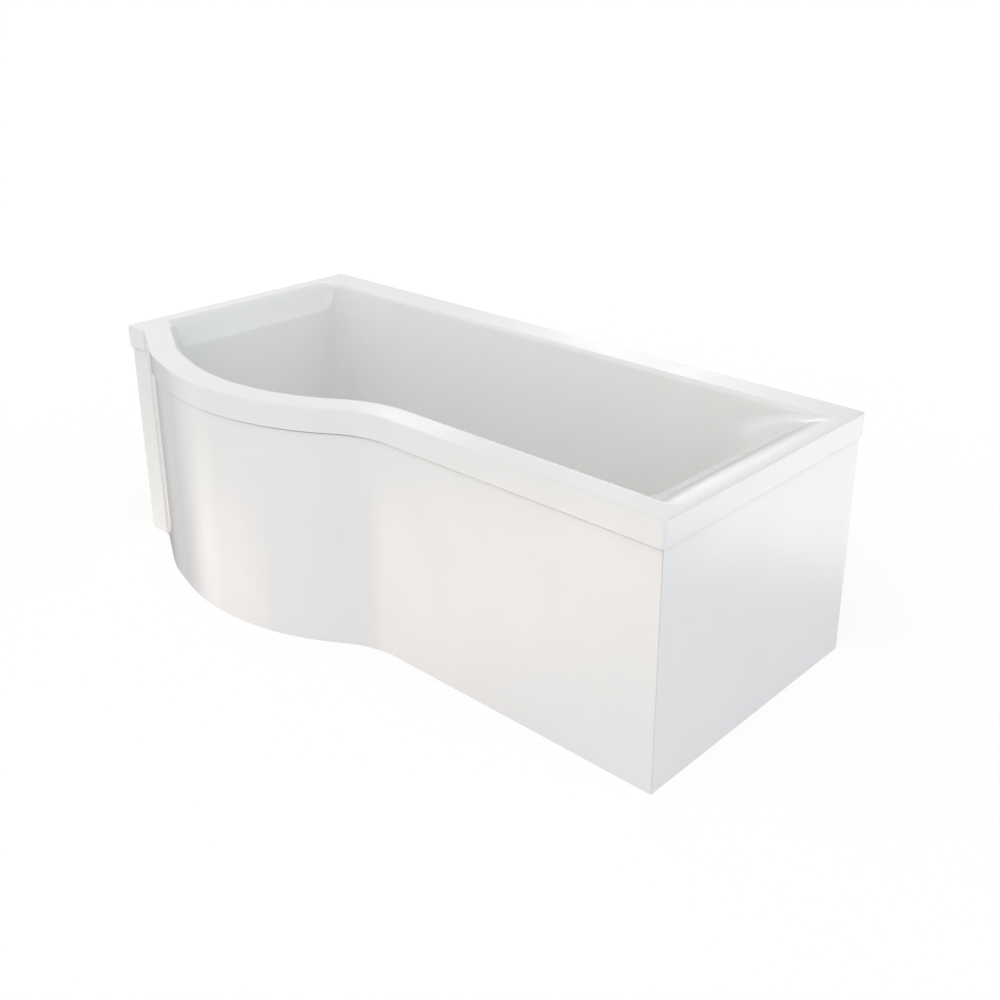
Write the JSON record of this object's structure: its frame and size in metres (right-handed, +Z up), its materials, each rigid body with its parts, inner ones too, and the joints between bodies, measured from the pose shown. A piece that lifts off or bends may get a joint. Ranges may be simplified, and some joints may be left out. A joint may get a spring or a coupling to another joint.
{
  "type": "p shaped shower bath",
  "caption": "P shaped shower bath with a bulged shower end, sloped backrest, fitted front and end panels, adjustable feet, pop-up waste and overflow.",
  "frame": {"origin": "on the floor, at the centre of the bath's plan box", "axes": "+X towards the backrest end, +Y towards the wall behind the bath, +Z up"},
  "size_m": [1.7, 0.857, 0.575],
  "materials": {
    "acrylic": "glossy white sanitary acrylic",
    "chipboard": "raw chipboard",
    "timber": "planed softwood",
    "galvanised_steel": "galvanised",
    "zinc_plated_steel": "bright zinc plate",
    "black_plastic": "moulded, matt",
    "chrome": "polished chrome plate",
    "rubber": "matt",
    "white_plastic": "moulded, satin",
    "grey_plastic": "moulded, satin"
  },
  "bodies": {
    "bath": {"bath_shell": "acrylic", "front_panel": "acrylic", "end_panel": "acrylic", "front_panel_strip": "acrylic", "end_panel_strip": "acrylic", "baseboard": "chipboard", "rim_batten_back": "timber", "rim_batten_front": "timber", "rim_batten_shower": "timber", "rim_batten_rest": "timber", "leg_rail_shower": "galvanised_steel", "leg_rail_rest": "galvanised_steel", "middle_foot_bracket": "galvanised_steel", "rail_screws": "zinc_plated_steel", "lock_nuts": "zinc_plated_steel", "wall_brackets": "galvanised_steel", "bracket_screws": "zinc_plated_steel", "panel_clips": "galvanised_steel", "floor_batten_front": "timber", "floor_batten_end": "timber", "floor_block_shower": "timber", "waste_flange": "chrome", "waste_gasket": "rubber", "waste_body": "white_plastic", "waste_nut": "white_plastic", "trap": "white_plastic", "overflow_face": "chrome", "overflow_gasket": "rubber", "overflow_body": "white_plastic", "overflow_pipe": "grey_plastic"},
    "foot_shower_back": {"stud_shower_back": "zinc_plated_steel", "pad_shower_back": "black_plastic"},
    "foot_shower_front": {"stud_shower_front": "zinc_plated_steel", "pad_shower_front": "black_plastic"},
    "foot_middle": {"stud_middle": "zinc_plated_steel", "pad_middle": "black_plastic"},
    "foot_rest_back": {"stud_rest_back": "zinc_plated_steel", "pad_rest_back": "black_plastic"},
    "foot_rest_front": {"stud_rest_front": "zinc_plated_steel", "pad_rest_front": "black_plastic"},
    "plug": {"waste_plug": "chrome"},
    "overflow_control": {"overflow_knob": "chrome"}
  },
  "joints": [
    {"name": "foot_shower_back_height", "type": "slide", "parent": "bath", "child": "foot_shower_back", "axis": [0, 0, -1], "range_m": [-0.01, 0.02]},
    {"name": "foot_shower_front_height", "type": "slide", "parent": "bath", "child": "foot_shower_front", "axis": [0, 0, -1], "range_m": [-0.01, 0.02]},
    {"name": "foot_middle_height", "type": "slide", "parent": "bath", "child": "foot_middle", "axis": [0, 0, -1], "range_m": [-0.01, 0.02]},
    {"name": "foot_rest_back_height", "type": "slide", "parent": "bath", "child": "foot_rest_back", "axis": [0, 0, -1], "range_m": [-0.01, 0.02]},
    {"name": "foot_rest_front_height", "type": "slide", "parent": "bath", "child": "foot_rest_front", "axis": [0, 0, -1], "range_m": [-0.01, 0.02]},
    {"name": "control_turn", "type": "hinge", "parent": "bath", "child": "overflow_control", "pos_m": [-0.69477, -0.23274, 0.47], "axis": [0.4669, 0.8781, 0.1045], "range_deg": [0, 90]},
    {"name": "plug_lift", "type": "slide", "parent": "bath", "child": "plug", "axis": [0, 0, 1], "range_m": [0, 0.01]}
  ],
  "couplings": [
    {"joint": "plug_lift", "follows": "control_turn", "m_per_rad": 0.006366}
  ]
}
